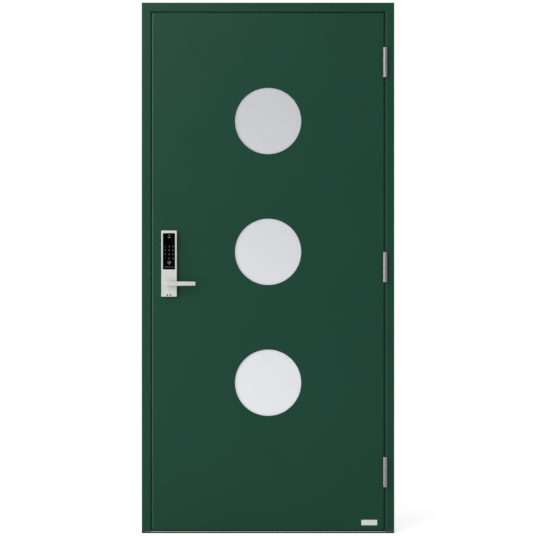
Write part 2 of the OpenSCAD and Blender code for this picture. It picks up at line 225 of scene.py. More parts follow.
def ring(bm, axis, centre, radius, segments=96):
    """Adds a circle of edges, and returns them."""
    made = bmesh.ops.create_circle(bm, cap_ends=False, radius=radius, segments=segments,
                                   matrix=turned_to(axis, centre))
    return list({edge for vert in made["verts"] for edge in vert.link_edges})


def outline(bm, axis, level, lo, hi, corner=0.0, segments=6):
    """Adds the edges of a rectangle with round corners on the plane at a level, and returns them."""
    lo, hi = Vector(lo), Vector(hi)
    lo[axis] = hi[axis] = level
    before = set(bm.faces)
    bmesh.ops.create_grid(bm, x_segments=1, y_segments=1, size=0.5, matrix=turned_to(axis, (0, 0, 0)))
    face = next(f for f in bm.faces if f not in before)
    verts = list(face.verts)
    span = hi - lo
    span[axis] = 1
    bmesh.ops.scale(bm, vec=span, verts=verts)
    bmesh.ops.translate(bm, vec=(lo + hi) / 2, verts=verts)
    if corner:
        bmesh.ops.bevel(bm, geom=verts, offset=corner, offset_type="OFFSET", segments=segments,
                        profile=0.5, affect="VERTICES", material=-1)
        face = next(f for f in bm.faces if f not in before)
    edges = list(face.edges)
    bmesh.ops.delete(bm, geom=[face], context="FACES_ONLY")
    return edges


def fill_between(bm, edges, facing):
    """Fills the flat area between loops of edges."""
    bmesh.ops.triangle_fill(bm, edges=edges, use_beauty=True, normal=facing)


def open_round(bm, axis, level, centre, radius, margin, segments):
    """Opens a round hole in the flat wall at a level on an axis, and returns its rim."""
    centre = Vector(centre)
    centre[axis] = level
    reach = Vector((1, 1, 1)) * radius * margin
    faces = marked_out(bm, axis, level, centre - reach, centre + reach)
    facing = faces[0].normal.copy()
    square = [e for f in faces for e in f.edges if sum(g in faces for g in e.link_faces) == 1]
    bmesh.ops.delete(bm, geom=faces, context="FACES")
    rim = ring(bm, axis, centre, radius, segments)
    fill_between(bm, square + rim, facing)
    return rim


def bridge(bm, *loops):
    """Joins each loop of edges to the next with a wall."""
    for near, far in zip(loops, loops[1:]):
        bmesh.ops.bridge_loops(bm, edges=near + far)


def outward(bm):
    bmesh.ops.recalc_face_normals(bm, faces=bm.faces)
    return bm


def pierced_plate(axis, near, far, loops_on):
    """A flat plate from near to far on an axis. loops_on adds its outline and holes to a bmesh at near."""
    bm = bmesh.new()
    loops_on(bm, near)
    fill_between(bm, bm.edges[:], along(axis, near - far))
    made = bmesh.ops.extrude_face_region(bm, geom=bm.faces[:])
    bmesh.ops.translate(bm, vec=along(axis, far - near), verts=verts_of(made))
    return outward(bm)


def plate(axis, near, far, lo, hi, corner, rounding=0.0, segments=3):
    """A plate with round corners, whose edges on its near face are rounded."""
    bm = pierced_plate(axis, near, far, lambda bm, level: outline(bm, axis, level, lo, hi, corner))
    if rounding:
        round_edges(bm, corners_at(bm, axis, near), rounding, segments)
    return bm


def lathe(points, centre, axis, steps=64):
    """Turns an outline of (radius, height) points round a line. The outline starts and ends on the line,
    or it closes on itself clear of the line."""
    bm = bmesh.new()
    upward = along(axis, 1)
    side = along((axis + 1) % 3, 1)
    verts = [bm.verts.new(Vector(centre) + side * radius + upward * height) for radius, height in points]
    on_line = points[0][0] < NEAR
    ends = list(zip(verts, verts[1:])) if on_line else list(zip(verts, verts[1:] + verts[:1]))
    edges = [bm.edges.new(pair) for pair in ends]
    bmesh.ops.spin(bm, geom=verts + edges, cent=centre, axis=upward, angle=math.tau, steps=steps,
                   use_merge=True)
    bmesh.ops.remove_doubles(bm, verts=bm.verts, dist=NEAR / 5)
    return outward(bm)


def arc(centre_r, centre_h, radius, start, end, steps=4):
    """Points on an arc in an outline, from one angle to another in degrees."""
    angles = [math.radians(start + (end - start) * i / steps) for i in range(steps + 1)]
    return [(centre_r + radius * math.cos(a), centre_h + radius * math.sin(a)) for a in angles]


def drawn_through(points, placed, travel):
    """A solid with a flat outline, drawn along a vector. placed turns (across, up) into a place."""
    bm = bmesh.new()
    face = bm.faces.new([bm.verts.new(placed(*point)) for point in points])
    made = bmesh.ops.extrude_face_region(bm, geom=[face])
    bmesh.ops.translate(bm, vec=travel, verts=verts_of(made))
    return outward(bm)


def joined(parts):
    """One bmesh that holds several."""
    whole = bmesh.new()
    for part in parts:
        mesh = bpy.data.meshes.new("part")
        part.to_mesh(mesh)
        part.free()
        whole.from_mesh(mesh)
        bpy.data.meshes.remove(mesh)
    return whole


def piece(name, bm, finish, body, stands_for=(), sharp=32):
    """Makes a bmesh a piece of the door: shaded, finished, and riding on its body."""
    mesh = bpy.data.meshes.new(name)
    bm.to_mesh(mesh)
    bm.free()
    mesh.polygons.foreach_set("use_smooth", [True] * len(mesh.polygons))
    mesh.set_sharp_from_angle(angle=math.radians(sharp))
    mesh.materials.append(finish)
    ob = bpy.data.objects.new(name, mesh)
    bpy.context.scene.collection.objects.link(ob)
    shading = ob.modifiers.new("even_shading", "WEIGHTED_NORMAL")
    shading.keep_sharp = True
    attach(ob, body)
    if stands_for:
        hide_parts(*stands_for)
    return ob


# --- Finishes ---------------------------------------------------------------------------------

class Finish:
    """A procedural finish, built up on one Principled shader."""

    def __init__(self, name, **constants):
        self.material = bpy.data.materials.new(name)
        self.material.use_nodes = True
        self.nodes = self.material.node_tree.nodes
        self.links = self.material.node_tree.links
        self.shader = self.nodes["Principled BSDF"]
        self.place = self.nodes.new("ShaderNodeTexCoord").outputs["Object"]
        for socket, value in constants.items():
            self.shader.inputs[socket.replace("_", " ")].default_value = value

    def grain(self, scale, detail=3.0, roughness=0.5, stretch=None):
        """A noise pattern on the object, its coordinates stretched where the grain has a direction."""
        node = self.nodes.new("ShaderNodeTexNoise")
        node.inputs["Scale"].default_value = scale
        node.inputs["Detail"].default_value = detail
        node.inputs["Roughness"].default_value = roughness
        place = self.place
        if stretch:
            mapping = self.nodes.new("ShaderNodeMapping")
            mapping.inputs["Scale"].default_value = stretch
            self.links.new(place, mapping.inputs["Vector"])
            place = mapping.outputs["Vector"]
        self.links.new(place, node.inputs["Vector"])
        return node.outputs["Fac"]

    def vary(self, socket, pattern, low, high):
        """Feeds a socket with values from low to high by a pattern."""
        node = self.nodes.new("ShaderNodeMapRange")
        node.inputs["From Min"].default_value = 0.3
        node.inputs["From Max"].default_value = 0.7
        node.inputs["To Min"].default_value = low
        node.inputs["To Max"].default_value = high
        self.links.new(pattern, node.inputs["Value"])
        self.links.new(node.outputs["Result"], self.shader.inputs[socket])

    def tint(self, pattern, low, high):
        """Colours the surface between two colours by a pattern."""
        node = self.nodes.new("ShaderNodeValToRGB")
        node.color_ramp.elements[0].position = 0.3
        node.color_ramp.elements[1].position = 0.7
        node.color_ramp.elements[0].color = (*low, 1)
        node.color_ramp.elements[1].color = (*high, 1)
        self.links.new(pattern, node.inputs["Fac"])
        self.links.new(node.outputs["Color"], self.shader.inputs["Base Color"])

    def raise_by(self, pattern, height, strength, under=None):
        """Gives the surface relief by a pattern, over an earlier relief if there is one."""
        node = self.nodes.new("ShaderNodeBump")
        node.inputs["Distance"].default_value = height
        node.inputs["Strength"].default_value = strength
        self.links.new(pattern, node.inputs["Height"])
        if under is not None:
            self.links.new(under, node.inputs["Normal"])
        self.links.new(node.outputs["Normal"], self.shader.inputs["Normal"])
        return node.outputs["Normal"]


def toned(colour, factor):
    return tuple(channel * factor for channel in colour)


def green_paint(name, colour, gloss=0.175):
    """Satin sprayed paint with the fine peel and slight clouding of a lacquered panel."""
    paint = Finish(name, Specular_IOR_Level=gloss)
    paint.tint(paint.grain(2.2, 2.0), toned(colour, 0.96), toned(colour, 1.04))
    paint.vary("Roughness", paint.grain(9.0, 4.0), 0.34, 0.39)
    peel = paint.raise_by(paint.grain(420.0, 2.0), 0.02 * MM, 0.5)
    paint.raise_by(paint.grain(14.0, 1.0), 0.2 * MM, 0.12, under=peel)
    return paint.material


def brushed(name, colour, rough, stretch, line_height=0.012 * MM):
    """Satin metal, with fine lines along the direction it is least stretched in."""
    metal = Finish(name, Metallic=1.0)
    lines = metal.grain(1.0, 5.0, 0.6, stretch)
    metal.tint(lines, toned(colour, 0.93), toned(colour, 1.04))
    metal.vary("Roughness", lines, rough - 0.05, rough + 0.06)
    metal.raise_by(lines, line_height, 0.5)
    return metal.material


def grained(name, colour, rough, scale, height, specular=0.5, mottle=0.12):
    """A non-metal with a fine surface grain and slight mottling."""
    solid = Finish(name, Specular_IOR_Level=specular)
    fine = solid.grain(scale, 4.0, 0.6)
    solid.tint(solid.grain(scale / 12, 3.0), toned(colour, 1 - mottle), toned(colour, 1 + mottle))
    solid.vary("Roughness", fine, max(rough - 0.06, 0.02), min(rough + 0.06, 1.0))
    solid.raise_by(fine, height, 0.6)
    return solid.material


def clear_glass(name):
    """Clear panes, through which the lamps reach what is behind."""
    glass = Finish(name, Roughness=0.0, Transmission_Weight=1.0, IOR=1.45)
    glass.tint(glass.grain(3.0), (0.95, 0.965, 0.96), (0.96, 0.975, 0.97))
    rays = glass.nodes.new("ShaderNodeLightPath")
    open_to_lamps = glass.nodes.new("ShaderNodeBsdfTransparent")
    open_to_lamps.inputs["Color"].default_value = (0.93, 0.95, 0.95, 1)
    mix = glass.nodes.new("ShaderNodeMixShader")
    glass.links.new(rays.outputs["Is Shadow Ray"], mix.inputs["Fac"])
    glass.links.new(glass.shader.outputs["BSDF"], mix.inputs[1])
    glass.links.new(open_to_lamps.outputs["BSDF"], mix.inputs[2])
    glass.links.new(mix.outputs["Shader"], glass.nodes["Material Output"].inputs["Surface"])
    return glass.material


def etched_glass(name):
    """The front pane, etched to a pale even satin. Its colour carries a painted reflection: greyer higher
    up and paler lower down, so the higher windows are a little greyer.
    """
    glass = Finish(name, Specular_IOR_Level=0.3)
    # Painted reflection: the pane's colour is painted greyer the higher it stands and paler lower down, in
    # place of a room that is darker above.
    height = glass.nodes.new("ShaderNodeSeparateXYZ")
    glass.links.new(glass.place, height.inputs["Vector"])
    ramp = glass.nodes.new("ShaderNodeMapRange")
    ramp.inputs["From Min"].default_value = 0.5
    ramp.inputs["From Max"].default_value = 1.7
    glass.links.new(height.outputs["Z"], ramp.inputs["Value"])
    # Fine random clouding is added to the painted reflection's height ramp, and the two together set the
    # pane's colour.
    clouding_and_painted_reflection = glass.nodes.new("ShaderNodeMath")
    clouding_and_painted_reflection.operation = "MULTIPLY_ADD"
    clouding_and_painted_reflection.inputs[1].default_value = 0.04
    glass.links.new(glass.grain(6.0, 2.0), clouding_and_painted_reflection.inputs[0])
    glass.links.new(ramp.outputs["Result"], clouding_and_painted_reflection.inputs[2])
    tone = glass.nodes.new("ShaderNodeValToRGB")
    tone.color_ramp.elements[0].color = (0.86, 0.87, 0.905, 1)
    tone.color_ramp.elements[1].color = (0.585, 0.59, 0.615, 1)
    glass.links.new(clouding_and_painted_reflection.outputs["Value"], tone.inputs["Fac"])
    glass.links.new(tone.outputs["Color"], glass.shader.inputs["Base Color"])
    etch = glass.grain(1500.0, 2.0)
    glass.vary("Roughness", etch, 0.42, 0.50)
    glass.raise_by(etch, 0.01 * MM, 0.5)
    return glass.material


def cover_glass(name):
    """Polished black cover glass with faint smudges."""
    glass = Finish(name, Specular_IOR_Level=0.012)
    smudge = glass.grain(60.0, 5.0, 0.65)
    glass.tint(smudge, (0.0004, 0.0004, 0.0005), (0.0009, 0.0009, 0.0010))
    glass.vary("Roughness", smudge, 0.08, 0.15)
    return glass.material


GREEN = (0.0025, 0.0480, 0.0270)
STEEL = (0.50, 0.497, 0.475)
leaf_green = green_paint("leaf_green", GREEN)
frame_green = green_paint("frame_green", GREEN)
leaf_edge_green = green_paint("leaf_edge_green", GREEN, 0.56)
frame_edge_green = green_paint("frame_edge_green", GREEN, 0.36)
housing_steel = brushed("housing_satin_steel", STEEL, 0.38, (900, 900, 30))
lever_steel = brushed("lever_satin_steel", STEEL, 0.34, (30, 900, 900))
hinge_steel = brushed("hinge_steel", (0.21, 0.205, 0.195), 0.36, (700, 700, 1500))
bolt_steel = brushed("bolt_steel", (0.55, 0.55, 0.53), 0.34, (900, 900, 40))
sill_metal = brushed("sill_aluminium", (0.29, 0.30, 0.295), 0.42, (20, 700, 700))
contact_metal = grained("dark_contact", (0.004, 0.0035, 0.0035), 0.5, 900, 0.01 * MM, 0.04)
base_composite = grained("dark_composite", (0.020, 0.018, 0.019), 0.62, 700, 0.06 * MM, 0.15)
pad_composite = grained("grey_composite", (0.060, 0.078, 0.070), 0.55, 700, 0.06 * MM, 0.3)
seal_rubber = grained("seal_rubber", (0.006, 0.008, 0.007), 0.6, 900, 0.03 * MM, 0.05)
spacer_black = grained("black_spacer", (0.02, 0.02, 0.021), 0.5, 900, 0.02 * MM)
label_white = grained("blank_label", (0.74, 0.80, 0.76), 0.4, 600, 0.01 * MM, 0.4, 0.02)
key_print = grained("key_print", (0.21, 0.22, 0.24), 0.5, 900, 0.01 * MM, 0.3)
pane_clear = clear_glass("clear_pane")
pane_etched = etched_glass("etched_pane")
keypad_black = cover_glass("keypad_black")


# --- Frame ------------------------------------------------------------------------------------

def drill_jamb(bm, side, rise):
    """A fixing hole right through one jamb, in the rebate behind the leaf's edge."""
    centre = Vector((0, y_lock, z_top / 2 + rise))
    bridge(bm, *(open_round(bm, X, side * level, centre, fixing_r, 1.6, 32) for level in (x_face, x_outer)))


def hinge_pocket(z):
    """The two corners of the pocket for one hinge plate, at a hinge's height."""
    return ((0, y_front + hinge_plate_inset, z - hinge_plate_reach),
            (0, y_front + hinge_plate_d, z + hinge_plate_reach))


def bolt_holes(play):
    """The corners of the holes for the latch and the dead bolt, with play round them."""
    grow = Vector((0, play, play))
    return [(lo - grow, hi + grow) for lo, hi in ((latch_lo, latch_hi), (dead_lo, dead_hi))]


def frame_casing():
    """Both jambs and the head as one rebated, painted casing that stands on the threshold."""
    below = 200 * MM  # built deeper, then cut off level with the threshold
    bm = block((-x_outer, y_front, z_jamb - below), (x_outer, y_back, z_top))
    face = wall_faces(bm, Y, y_front)
    bmesh.ops.inset_region(bm, faces=face, thickness=face_w, use_even_offset=True, use_boundary=True)
    rebate = sink(bm, face, along(Y, y_stop - y_front))
    bmesh.ops.inset_region(bm, faces=rebate, thickness=stop_reach, use_even_offset=True, use_boundary=True)
    opening = sink(bm, rebate, along(Y, y_back - y_stop))
    bmesh.ops.delete(bm, geom=opening, context="FACES")
    back = wall_faces(bm, Y, y_back)
    bmesh.ops.inset_region(bm, faces=back, thickness=face_w + stop_reach, use_even_offset=True,
                           use_boundary=True)
    bmesh.ops.delete(bm, geom=back, context="FACES")
    bmesh.ops.remove_doubles(bm, verts=bm.verts, dist=NEAR)
    outer_edges = [edges_at(bm, x=-x_outer, y=y_front), edges_at(bm, x=x_outer, y=y_front),
                   edges_at(bm, z=z_top, y=y_front)]
    round_edges(bm, sum(outer_edges, []), 0.8 * MM, 2)
    inner_edges = [edges_at(bm, x=-x_face, y=y_front), edges_at(bm, x=x_face, y=y_front),
                   edges_at(bm, z=z_head, y=y_front)]
    round_edges(bm, sum(inner_edges, []), jamb_soft, 4)
    stop_edges = [edges_at(bm, x=-x_stop, y=y_stop), edges_at(bm, x=x_stop, y=y_stop),
                  edges_at(bm, z=z_head - stop_reach, y=y_stop)]
    round_edges(bm, sum(stop_edges, []), 1.5 * MM)
    bmesh.ops.bisect_plane(bm, geom=bm.verts[:] + bm.edges[:] + bm.faces[:], dist=NEAR / 10,
                           plane_co=(0, 0, z_jamb), plane_no=(0, 0, 1), clear_inner=True)
    bmesh.ops.holes_fill(bm, edges=[e for e in bm.edges if e.is_boundary], sides=0)
    outward(bm)
    for z in hinge_z.values():
        carve(bm, X, x_face, *hinge_pocket(z), hinge_plate_t)
    carve(bm, X, -x_face, strike_lo, strike_hi, -hinge_plate_t)
    for hole_lo, hole_hi in bolt_holes(bolt_play):
        carve(bm, X, strike_lo.x, hole_lo, hole_hi, hinge_plate_t - strike_depth)
    for side in (-1, 1):
        for rise in fixing_rises:
            drill_jamb(bm, side, rise)
    return bm


def jamb_pads():
    """The pads on which the jambs stand, at either end of the tread."""
    def pad(side):
        points = [(x_outer, y_front), (x_face, y_front), (x_face, y_stop), (x_stop, y_stop),
                  (x_stop, y_back), (x_outer, y_back)]
        return drawn_through(points, lambda x, y: Vector((side * x, y, tread_lo.z)),
                             along(Z, z_jamb - tread_lo.z))
    return joined([pad(-1), pad(1)])


def threshold_core():
    """The dark base under the whole frame, with a core under the upstand."""
    slab = block((-x_outer, y_front, base_lo.z), (x_outer, y_back, tread_lo.z), 0.8 * MM)
    core = block((-x_stop, y_stop + plate_t, tread_lo.z - 1 * MM), (x_stop, y_back, tread_hi.z - plate_t))
    return joined([slab, core])


def threshold_tread():
    """The metal plate: a tread with anti-slip grooves and a rounded nose, and the upstand behind it."""
    top, foot, nose = z_jamb - 0.8 * MM, tread_lo.z, 1.2 * MM
    points = [(y_stop, foot), (y_front + 0.4 * MM, foot)]
    points += arc(y_front + nose, top - nose, nose, 180, 90, 5)
    groove_w, groove_pitch, groove_depth = 2.4 * MM, 6.5 * MM, 1.0 * MM
    y = y_front + 9 * MM
    while y < y_stop - 10 * MM:
        points += [(y, top), (y + 0.4 * MM, top - groove_depth),
                   (y + groove_w - 0.4 * MM, top - groove_depth), (y + groove_w, top)]
        y += groove_pitch
    points.append((y_stop, top))
    tread = drawn_through(points, lambda y, z: Vector((-x_face, y, z)), along(X, 2 * x_face))
    top, round_r = tread_hi.z, 1.5 * MM
    points = [(y_stop, foot)] + arc(y_stop + round_r, top - round_r, round_r, 180, 90, 4)
    points += arc(y_back - round_r, top - round_r, round_r, 90, 0, 4)
    points += [(y_back, top - plate_t), (y_stop + plate_t, top - plate_t), (y_stop + plate_t, foot)]
    upstand = drawn_through(points, lambda y, z: Vector((-x_stop, y, z)), along(X, 2 * x_stop))
    return joined([tread, upstand])


def seal_strip(centre, half, width_axis, travel):
    """A D-shaped rubber strip on the front of the stop, its nose slightly flat."""
    depth = y_stop - y_seal
    points = [(half * a, depth * min(b * 1.25, 1)) for a, b in arc(0, 0, 1, 180, 0, 12)]
    return drawn_through(
        points, lambda a, b: Vector(centre) + along(width_axis, a) + along(Y, -b), travel)


def edge_trim(x_edge, soft, z_low, z_high):
    """A bead of glossier paint down an upright edge, rounded over on its left."""
    wide, proud, deep = 3.9 * MM, 0.12 * MM, 0.3 * MM
    points = [(wide, -deep), (wide, proud)]
    points += arc(soft, -soft, soft + proud, 90, 160, 6) + arc(soft, -soft, soft - deep, 160, 90, 6)
    return drawn_through(points, lambda a, b: Vector((x_edge + a, y_front - b, z_low)),
                         along(Z, z_high - z_low))


def gap_lips():
    """Painted lips that close most of the gap round the leaf, a little way behind the front. On the hinge
    side they stop at the hinge plates."""
    near, far = y_front + 10 * MM, y_front + 12.5 * MM
    reach = leaf_gap - 0.7 * MM
    lips = [block((-x_face - 0.1 * MM, near, z_jamb), (-x_face + reach, far, z_head), 0.3 * MM, 1),
            block((-x_face, near, z_head - reach), (x_face, far, z_head + 0.1 * MM), 0.3 * MM, 1)]
    stops = [z_jamb]
    for z in sorted(hinge_z.values()):
        stops += [z - hinge_plate_reach - 1 * MM, z + hinge_plate_reach + 1 * MM]
    stops.append(z_head)
    for low, high in zip(stops[::2], stops[1::2]):
        lips.append(block((x_face - reach, near, low), (x_face + 0.1 * MM, far, high), 0.3 * MM, 1))
    return joined(lips)


def fixing_cap(side, rise):
    """A shallow domed cap in a fixing hole of one jamb."""
    points = [(0, 0.9 * MM), (2.6 * MM, 0.8 * MM), (5.2 * MM, 0.5 * MM), (5.8 * MM, 0),
              (4.9 * MM, -0.2 * MM), (4.9 * MM, -4 * MM), (0, -4 * MM)]
    return lathe([(r, -side * h) for r, h in points], (side * x_face, y_lock, z_top / 2 + rise), X, 32)


def add_frame():
    piece("frame_casing", frame_casing(), frame_green, "frame",
          ("lock_jamb", "hinge_jamb", "frame_head"))
    piece("gap_lips", gap_lips(), frame_green, "frame")
    bead = edge_trim(x_face + jamb_soft, jamb_soft, z_jamb + 1 * MM, z_head - 1 * MM)
    piece("hinge_jamb_bead", bead, frame_edge_green, "frame")
    piece("threshold_core", threshold_core(), base_composite, "frame", ("threshold_base",))
    piece("jamb_pads", jamb_pads(), pad_composite, "frame", ("threshold_base",))
    piece("threshold_tread", threshold_tread(), sill_metal, "frame",
          ("threshold_plate",))
    for name, axis in (("hinge_side_seal", X), ("lock_side_seal", X), ("head_seal", Z),
                       ("threshold_seal", Z)):
        lo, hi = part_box(name)
        centre = (lo + hi) / 2
        run = Z if axis == X else X
        centre[run] = lo[run]
        centre.y = y_stop
        strip = seal_strip(centre, (hi[axis] - lo[axis]) / 2, axis, along(run, hi[run] - lo[run]))
        piece(f"{name}_strip", strip, seal_rubber, "frame", (name,))
    caps = joined([fixing_cap(side, rise) for side in (-1, 1) for rise in fixing_rises])
    piece("fixing_caps", caps, frame_green, "frame", ("hinge_jamb", "lock_jamb"))


# --- Leaf -------------------------------------------------------------------------------------

def leaf_casing():
    """The whole leaf as one painted shell, with three stepped window openings."""
    lo, hi = Vector(leaf_lo), Vector((leaf_hi.x, y_leaf, leaf_hi.z))
    bm = block(lo, hi)
    round_edges(bm, corners_at(bm, Y, lo.y), leaf_soft, 6)
    round_edges(bm, corners_at(bm, Y, hi.y), 1.2 * MM)
    for z in window_z.values():
        room_r = glass_r + glass_play
        steps = [open_round(bm, Y, y_front, (0, 0, z), window_r, 1.2, 128)]
        steps += [ring(bm, Y, (0, y_core, z), radius, 128) for radius in (window_r, room_r)]
        steps += [open_round(bm, Y, y_leaf, (0, 0, z), room_r, 1.1, 128)]
        bridge(bm, *steps[:2])
        fill_between(bm, steps[1] + steps[2], along(Y, 1))
        bridge(bm, *steps[2:])
        round_edges(bm, steps[0], 1.0 * MM)
    outward(bm)
    carve(bm, X, lo.x, forend_lo, forend_hi, forend_hi.x - lo.x)
    for z in hinge_z.values():
        carve(bm, X, hi.x, *hinge_pocket(z), -hinge_plate_t)
    for vert in bm.verts:
        if vert.co.x < lo.x + leaf_soft + 0.1 * MM:
            vert.co.x += closing_bevel * (vert.co.y - y_front) / (y_leaf - y_front)
    return bm


def pane(y, z):
    edge = 0.5 * MM
    radius = glass_r
    return lathe([(0, 0), (radius - edge, 0), (radius, edge), (radius, pane_t - edge),
                  (radius - edge, pane_t), (0, pane_t)], (0, y, z), Y, 96)


def spacer(y, z, depth):
    return lathe([(spacer_r, 0.2 * MM), (glass_r - 0.3 * MM, 0.2 * MM),
                  (glass_r - 0.3 * MM, depth - 0.2 * MM), (spacer_r, depth - 0.2 * MM),
                  (spacer_r + 1 * MM, depth / 2)], (0, y, z), Y, 96)


def inside_bead(z):
    """The ring that holds the glass from the room side, with a rounded lip over the inner panel."""
    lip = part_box("top_window_bead")[1].y
    collar = y_pane + 2 * pane_pitch + pane_t
    soft = 1.2 * MM
    points = [(spacer_r, collar), (glass_r, collar), (glass_r, y_leaf), (bead_r, y_leaf)]
    points += arc(bead_r - soft, lip - soft, soft, 0, 90)
    points += arc(spacer_r + 2 * soft, lip - 2 * soft, 2 * soft, 90, 180)
    return lathe(points, (0, 0, z), Y, 128)


def add_leaf():
    piece("leaf_casing", leaf_casing(), leaf_green, "leaf",
          ("outer_panel", "inner_panel", "lock_stile", "hinge_stile", "top_rail", "bottom_rail",
           "leaf_core"))
    bead = edge_trim(leaf_lo.x, leaf_soft, leaf_lo.z + leaf_soft, leaf_hi.z - leaf_soft)
    piece("closing_edge_bead", bead, leaf_edge_green, "leaf")
    for name in WINDOWS:
        z = window_z[name]
        clear = joined([pane(y_pane + pane_pitch, z), pane(y_pane + 2 * pane_pitch, z)])
        piece(f"{name}_clear_panes", clear, pane_clear, "leaf", (f"{name}_window_panes",))
        piece(f"{name}_etched_pane", pane(y_pane, z), pane_etched, "leaf",
              (f"{name}_window_panes",))
        depth = pane_pitch - pane_t
        rings = joined([spacer(y_pane + pane_t, z, depth), spacer(y_pane + pane_pitch + pane_t, z, depth)])
        piece(f"{name}_window_spacers", rings, spacer_black, "leaf", ("window_spacers",))
        piece(f"{name}_inside_bead", inside_bead(z), leaf_green, "leaf",
              (f"{name}_window_bead",))
    sweep = block((leaf_lo.x + 6 * MM, y_front + 1.5 * MM, z_jamb + 0.5 * MM),
                  (leaf_hi.x - 3 * MM, y_front + 7 * MM, leaf_lo.z + 1 * MM), 0.8 * MM)
    piece("foot_sweep", sweep, seal_rubber, "leaf")
    drip = block((leaf_lo.x + 3 * MM, y_front + 0.2 * MM, leaf_lo.z - 1.4 * MM),
                 (leaf_hi.x - 3 * MM, y_front + 5 * MM, leaf_lo.z + 2.5 * MM), 0.8 * MM)
    piece("drip_edge", drip, leaf_green, "leaf")
    label = plate(Y, label_lo.y, label_hi.y, label_lo, label_hi, 1.5 * MM, 0.2 * MM, 2)
    piece("blank_label_plate", label, label_white, "leaf", ("label_plate",))


# --- Hinges -----------------------------------------------------------------------------------

def knuckle(z0, z1, lower=0.5 * MM, upper=0.5 * MM):
    """A turned barrel between two heights, its ends chamfered or rounded."""
    radius = knuckle_r
    points = [(0, z0), (radius - lower, z0)] + arc(radius - lower, z0 + lower, lower, -60, 0, 3)
    points += arc(radius - upper, z1 - upper, upper, 0, 60, 3) + [(radius - upper, z1), (0, z1)]
    return lathe(points, (hinge_axis.x, hinge_axis.y, 0), Z, 64)


def screw_head(centre, facing):
    """A countersunk screw head, set just proud of a plate and facing along X. Its outline is in mm."""
    points = [(0, 0.05), (1.5, 0.05), (1.65, 0.45), (3.3, 0.5), (3.9, 0.15), (3.9, -0.5), (0, -0.5)]
    return lathe([(r * MM, facing * h * MM) for r, h in points], centre, X, 24)


def hinge_half(side, z, z0, z1):
    """A knuckle with its leg and its plate, let into the jamb (side 1) or the leaf (side -1)."""
    wall = x_face if side > 0 else leaf_hi.x
    near, deep = wall - side * 0.1 * MM, wall + side * hinge_plate_t
    lo_x, hi_x = min(near, deep), max(near, deep)
    body = block((lo_x, y_front, z - hinge_plate_reach),
                 (hi_x, y_front + hinge_plate_d, z + hinge_plate_reach), 0.3 * MM)
    leg = block((lo_x, hinge_axis.y, z0), (hi_x, y_front + 1 * MM, z1), 0.3 * MM)
    screws = [
        screw_head((near, y_front + inset, z + rise), -side)
        for rise, inset in ((-34 * MM, 24 * MM), (0, 16 * MM), (34 * MM, 24 * MM))
    ]
    return joined([knuckle(z0, z1), body, leg, *screws])


def add_hinges():
    gap = 0.3 * MM
    lower_caps, upper_caps = [], []
    for name in WINDOWS:
        z = hinge_z[name]
        piece(f"{name}_hinge_lower_half", hinge_half(1, z, z - knuckle_l, z), hinge_steel, "frame",
              (f"{name}_hinge_frame_half",))
        piece(f"{name}_hinge_upper_half", hinge_half(-1, z, z + gap, z + gap + knuckle_l), hinge_steel,
              "leaf", (f"{name}_hinge_leaf_half",))
        lower_caps.append(knuckle(z - knuckle_l - cap_l, z - knuckle_l, 1.6 * MM))
        upper_caps.append(knuckle(z + gap + knuckle_l, z + gap + knuckle_l + cap_l, upper=1.6 * MM))
    piece("lower_hinge_caps", joined(lower_caps), hinge_steel, "frame",
          ("hinge_lower_caps",))
    piece("upper_hinge_caps", joined(upper_caps), hinge_steel, "leaf",
          ("hinge_upper_caps",))


# --- Lock -------------------------------------------------------------------------------------

def outside_housing():
    """The outside housing: a rounded slab with a recess for the keypad, and a fine seam below it."""
    soft, corner = 0.9 * MM, 1.3 * MM
    rim, rim_corner = 0.35 * MM, 3 * MM
    recess_lo, recess_hi = keypad_lo - Vector((rim, 0, rim)), keypad_hi + Vector((rim, 0, rim))
    bm = bmesh.new()
    near = outline(bm, Y, housing_lo.y, housing_lo, housing_hi, corner)
    far = outline(bm, Y, housing_hi.y, housing_lo, housing_hi, corner)
    mouth = outline(bm, Y, housing_lo.y, recess_lo, recess_hi, rim_corner)
    bottom = outline(bm, Y, keypad_hi.y, recess_lo, recess_hi, rim_corner)
    fill_between(bm, near + mouth, along(Y, -1))
    fill_between(bm, far, along(Y, 1))
    fill_between(bm, bottom, along(Y, -1))
    bridge(bm, near, far)
    bridge(bm, mouth, bottom)
    outward(bm)
    round_edges(bm, [e for e in corners_at(bm, Y, housing_lo.y) if e not in mouth], soft, 4)
    carve(bm, Y, housing_lo.y, (housing_lo.x + soft, 0, housing_seam_z - seam_w / 2),
          (housing_hi.x - soft, 0, housing_seam_z + seam_w / 2), 0.5 * MM)
    return bm


def digit(text, x, z, height):
    """One plain figure or sign, printed on the keypad and centred on a place."""
    curve = bpy.data.curves.new("figure", "FONT")
    curve.body = text
    curve.size = height * 1.35
    curve.align_x = "CENTER"
    curve.align_y = "CENTER"
    curve.extrude = 0.04 * MM
    curve.resolution_u = 4
    figure = bpy.data.objects.new("figure", curve)
    bpy.context.scene.collection.objects.link(figure)
    mesh = bpy.data.meshes.new_from_object(figure.evaluated_get(bpy.context.evaluated_depsgraph_get()))
    bpy.data.objects.remove(figure)
    bm = bmesh.new()
    bm.from_mesh(mesh)
    bpy.data.meshes.remove(mesh)
    bmesh.ops.rotate(bm, verts=bm.verts, matrix=Matrix.Rotation(math.pi / 2, 3, "X"))
    bmesh.ops.translate(bm, verts=bm.verts, vec=(x, keypad_lo.y - 0.02 * MM, z))
    return bm


def printed_bow(x, z, radius, width, start, end):
    """A printed arc between two angles in degrees, or a ring."""
    points = arc(0, 0, radius, start, end, 24) + arc(0, 0, radius - width, end, start, 24)
    return drawn_through(points, lambda a, b: Vector((x + a, keypad_lo.y - 0.06 * MM, z + b)),
                         along(Y, 0.08 * MM))


def printed_bar(x, z, w, h):
    y = keypad_lo.y - 0.06 * MM
    return plate(Y, y, y + 0.08 * MM, (x - w / 2, 0, z - h / 2), (x + w / 2, 0, z + h / 2), h * 0.45)


